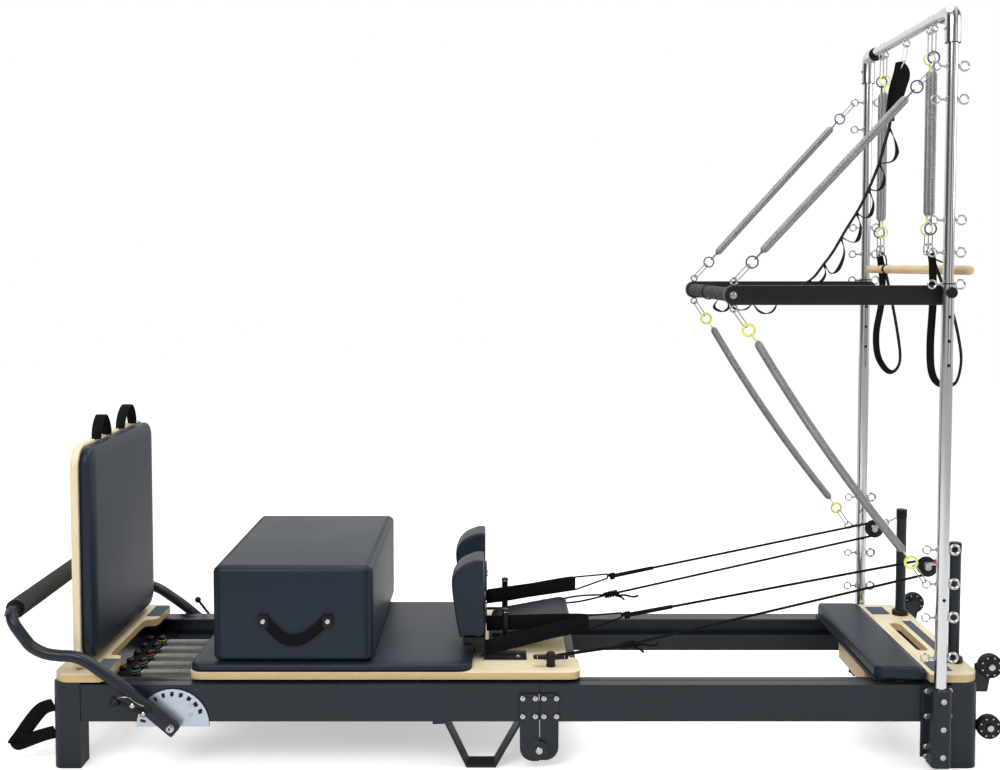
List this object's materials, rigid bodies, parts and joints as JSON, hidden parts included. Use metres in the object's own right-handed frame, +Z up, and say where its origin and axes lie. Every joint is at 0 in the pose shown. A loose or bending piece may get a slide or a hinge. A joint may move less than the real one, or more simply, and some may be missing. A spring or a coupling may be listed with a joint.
{
  "type": "pilates tower unit",
  "caption": "Folding pilates reformer with sprung carriage, jumpboard, sitting box, footbar, rope pulleys and a half tower with push-through bar, roll-down bar, springs and hand straps.",
  "frame": {"origin": "on the floor under the middle of the whole unit", "axes": "+X from the footbar end to the tower end, +Y across the bed away from the side shown in front, +Z up"},
  "size_m": [2.6863, 0.7786, 2.024],
  "materials": {
    "slate_paint": "satin slate powder coat",
    "black_paint": "satin black powder coat",
    "black_alloy": "matt black coat",
    "chrome": "bright plate",
    "spring_steel": "drawn wire",
    "plate": "zinc plated",
    "beech": "clear lacquer",
    "vinyl": "matt fine grain vinyl",
    "foam": "matt foam grip",
    "webbing": "woven black",
    "wheel_rubber": "satin"
  },
  "bodies": {
    "foot_frame": {"foot_rail_near": "slate_paint", "foot_rail_far": "slate_paint", "foot_end_frame": "slate_paint", "foot_end_board": "beech", "quadrant_near": "plate", "quadrant_far": "plate", "spring_bar": "black_paint", "carriage_spring_1": "spring_steel", "carriage_spring_2": "spring_steel", "carriage_spring_3": "spring_steel", "carriage_spring_4": "spring_steel", "carriage_spring_5": "spring_steel", "end_strap": "webbing"},
    "footbar": {"footbar": "slate_paint", "footbar_grip": "foam"},
    "jumpboard": {"jumpboard_panel": "beech", "jumpboard_pad": "vinyl"},
    "carriage": {"carriage_board": "beech", "carriage_cushion": "vinyl"},
    "carriage_wheel_front_near": {"carriage_wheel_front_near": "wheel_rubber"},
    "carriage_wheel_front_far": {"carriage_wheel_front_far": "wheel_rubber"},
    "carriage_wheel_rear_near": {"carriage_wheel_rear_near": "wheel_rubber"},
    "carriage_wheel_rear_far": {"carriage_wheel_rear_far": "wheel_rubber"},
    "shoulder_rest_near": {"shoulder_rest_near": "vinyl"},
    "shoulder_rest_far": {"shoulder_rest_far": "vinyl"},
    "headrest": {"headrest": "vinyl"},
    "sitting_box": {"sitting_box": "vinyl"},
    "head_frame": {"head_rail_near": "slate_paint", "head_rail_far": "slate_paint", "tower_socket_near": "slate_paint", "tower_socket_far": "slate_paint", "head_end_frame": "slate_paint", "head_end_board": "beech", "platform_pad": "vinyl", "tower_post_near": "chrome", "tower_post_far": "chrome", "tower_crossbar": "chrome", "upper_bar_spring_near": "spring_steel", "upper_bar_spring_far": "spring_steel", "lower_bar_spring_near": "spring_steel", "lower_bar_spring_far": "spring_steel", "safety_strap": "webbing", "rope_near": "webbing", "rope_far": "webbing"},
    "push_bar": {"push_through_bar": "black_alloy"},
    "hanging_set": {"roll_down_bar": "beech", "bar_hanging_spring_near": "spring_steel", "bar_hanging_spring_far": "spring_steel", "strap_hanging_spring_near": "spring_steel", "strap_hanging_spring_far": "spring_steel"},
    "strap_loop_near": {"hand_strap_near": "webbing"},
    "strap_loop_far": {"hand_strap_far": "webbing"},
    "riser_near": {"rope_riser_near": "slate_paint"},
    "riser_far": {"rope_riser_far": "slate_paint"},
    "sheave_near": {"rope_sheave_near": "wheel_rubber"},
    "sheave_far": {"rope_sheave_far": "wheel_rubber"},
    "transport_wheel_low_near": {"transport_wheel_low_near": "wheel_rubber"},
    "transport_wheel_low_far": {"transport_wheel_low_far": "wheel_rubber"},
    "transport_wheel_high_near": {"transport_wheel_high_near": "wheel_rubber"},
    "transport_wheel_high_far": {"transport_wheel_high_far": "wheel_rubber"}
  },
  "joints": [
    {"name": "frame_fold", "type": "hinge", "parent": "foot_frame", "child": "head_frame", "pos_m": [0.095, 0, 0.05], "axis": [0, 1, 0], "range_deg": [0, 175]},
    {"name": "carriage_slide", "type": "slide", "parent": "foot_frame", "child": "carriage", "axis": [1, 0, 0], "range_m": [0, 0.75], "stiffness_N_per_m": 120, "deforming": ["carriage_spring_1", "carriage_spring_2", "carriage_spring_3", "carriage_spring_4", "carriage_spring_5", "rope_near", "rope_far"]},
    {"name": "wheel_front_near_spin", "type": "hinge", "parent": "carriage", "child": "carriage_wheel_front_near", "pos_m": [-0.74949, -0.279, 0.1973], "axis": [0, 1, 0], "continuous": true},
    {"name": "wheel_front_far_spin", "type": "hinge", "parent": "carriage", "child": "carriage_wheel_front_far", "pos_m": [-0.74949, 0.279, 0.1973], "axis": [0, 1, 0], "continuous": true},
    {"name": "wheel_rear_near_spin", "type": "hinge", "parent": "carriage", "child": "carriage_wheel_rear_near", "pos_m": [0.05036, -0.279, 0.1973], "axis": [0, 1, 0], "continuous": true},
    {"name": "wheel_rear_far_spin", "type": "hinge", "parent": "carriage", "child": "carriage_wheel_rear_far", "pos_m": [0.05036, 0.279, 0.1973], "axis": [0, 1, 0], "continuous": true},
    {"name": "footbar_swing", "type": "hinge", "parent": "foot_frame", "child": "footbar", "pos_m": [-0.886, 0, 0.12], "axis": [0, 1, 0], "range_deg": [-44, 18]},
    {"name": "jumpboard_lift", "type": "slide", "parent": "foot_frame", "child": "jumpboard", "axis": [0, 0, 1], "range_m": [0, 0.3]},
    {"name": "sitting_box_lift", "type": "slide", "parent": "carriage", "child": "sitting_box", "axis": [0, 0, 1], "range_m": [0, 0.3]},
    {"name": "shoulder_rest_near_lift", "type": "slide", "parent": "carriage", "child": "shoulder_rest_near", "axis": [0, 0, 1], "range_m": [0, 0.12]},
    {"name": "shoulder_rest_far_lift", "type": "slide", "parent": "carriage", "child": "shoulder_rest_far", "axis": [0, 0, 1], "range_m": [0, 0.12]},
    {"name": "headrest_tilt", "type": "hinge", "parent": "carriage", "child": "headrest", "pos_m": [-0.034, 0, 0.2633], "axis": [0, -1, 0], "range_deg": [0, 40]},
    {"name": "push_bar_swing", "type": "hinge", "parent": "head_frame", "child": "push_bar", "pos_m": [1.158, 0, 1.279], "axis": [0, 1, 0], "range_deg": [-40, 40], "stiffness_Nm_per_rad": 60, "springref_deg": 6.88, "deforming": ["upper_bar_spring_near", "upper_bar_spring_far", "lower_bar_spring_near", "lower_bar_spring_far", "safety_strap"]},
    {"name": "hanging_set_swing", "type": "hinge", "parent": "head_frame", "child": "hanging_set", "pos_m": [1.158, 0, 1.984], "axis": [0, 1, 0], "range_deg": [-15, 15]},
    {"name": "strap_loop_near_swing", "type": "hinge", "parent": "hanging_set", "child": "strap_loop_near", "pos_m": [1.158, -0.22, 1.409], "axis": [1, 0, 0], "range_deg": [-15, 15]},
    {"name": "strap_loop_far_swing", "type": "hinge", "parent": "hanging_set", "child": "strap_loop_far", "pos_m": [1.158, 0.22, 1.409], "axis": [1, 0, 0], "range_deg": [-15, 15]},
    {"name": "riser_near_slide", "type": "slide", "parent": "head_frame", "child": "riser_near", "axis": [0, 0, 1], "range_m": [0, 0.06]},
    {"name": "riser_far_slide", "type": "slide", "parent": "head_frame", "child": "riser_far", "axis": [0, 0, 1], "range_m": [0, 0.06]},
    {"name": "sheave_near_spin", "type": "hinge", "parent": "riser_near", "child": "sheave_near", "pos_m": [1.161, -0.233, 0.524], "axis": [0, 1, 0], "continuous": true},
    {"name": "sheave_far_spin", "type": "hinge", "parent": "riser_far", "child": "sheave_far", "pos_m": [1.161, 0.233, 0.524], "axis": [0, 1, 0], "continuous": true},
    {"name": "transport_wheel_low_near_spin", "type": "hinge", "parent": "head_frame", "child": "transport_wheel_low_near", "pos_m": [1.311, -0.3, 0.104], "axis": [0, 1, 0], "continuous": true},
    {"name": "transport_wheel_low_far_spin", "type": "hinge", "parent": "head_frame", "child": "transport_wheel_low_far", "pos_m": [1.311, 0.3, 0.104], "axis": [0, 1, 0], "continuous": true},
    {"name": "transport_wheel_high_near_spin", "type": "hinge", "parent": "head_frame", "child": "transport_wheel_high_near", "pos_m": [1.311, -0.3, 0.271], "axis": [0, 1, 0], "continuous": true},
    {"name": "transport_wheel_high_far_spin", "type": "hinge", "parent": "head_frame", "child": "transport_wheel_high_far", "pos_m": [1.311, 0.3, 0.271], "axis": [0, 1, 0], "continuous": true}
  ],
  "couplings": [
    {"joint": "wheel_front_near_spin", "follows": "carriage_slide", "rad_per_m": 50},
    {"joint": "wheel_front_far_spin", "follows": "carriage_slide", "rad_per_m": 50},
    {"joint": "wheel_rear_near_spin", "follows": "carriage_slide", "rad_per_m": 50},
    {"joint": "wheel_rear_far_spin", "follows": "carriage_slide", "rad_per_m": 50}
  ]
}
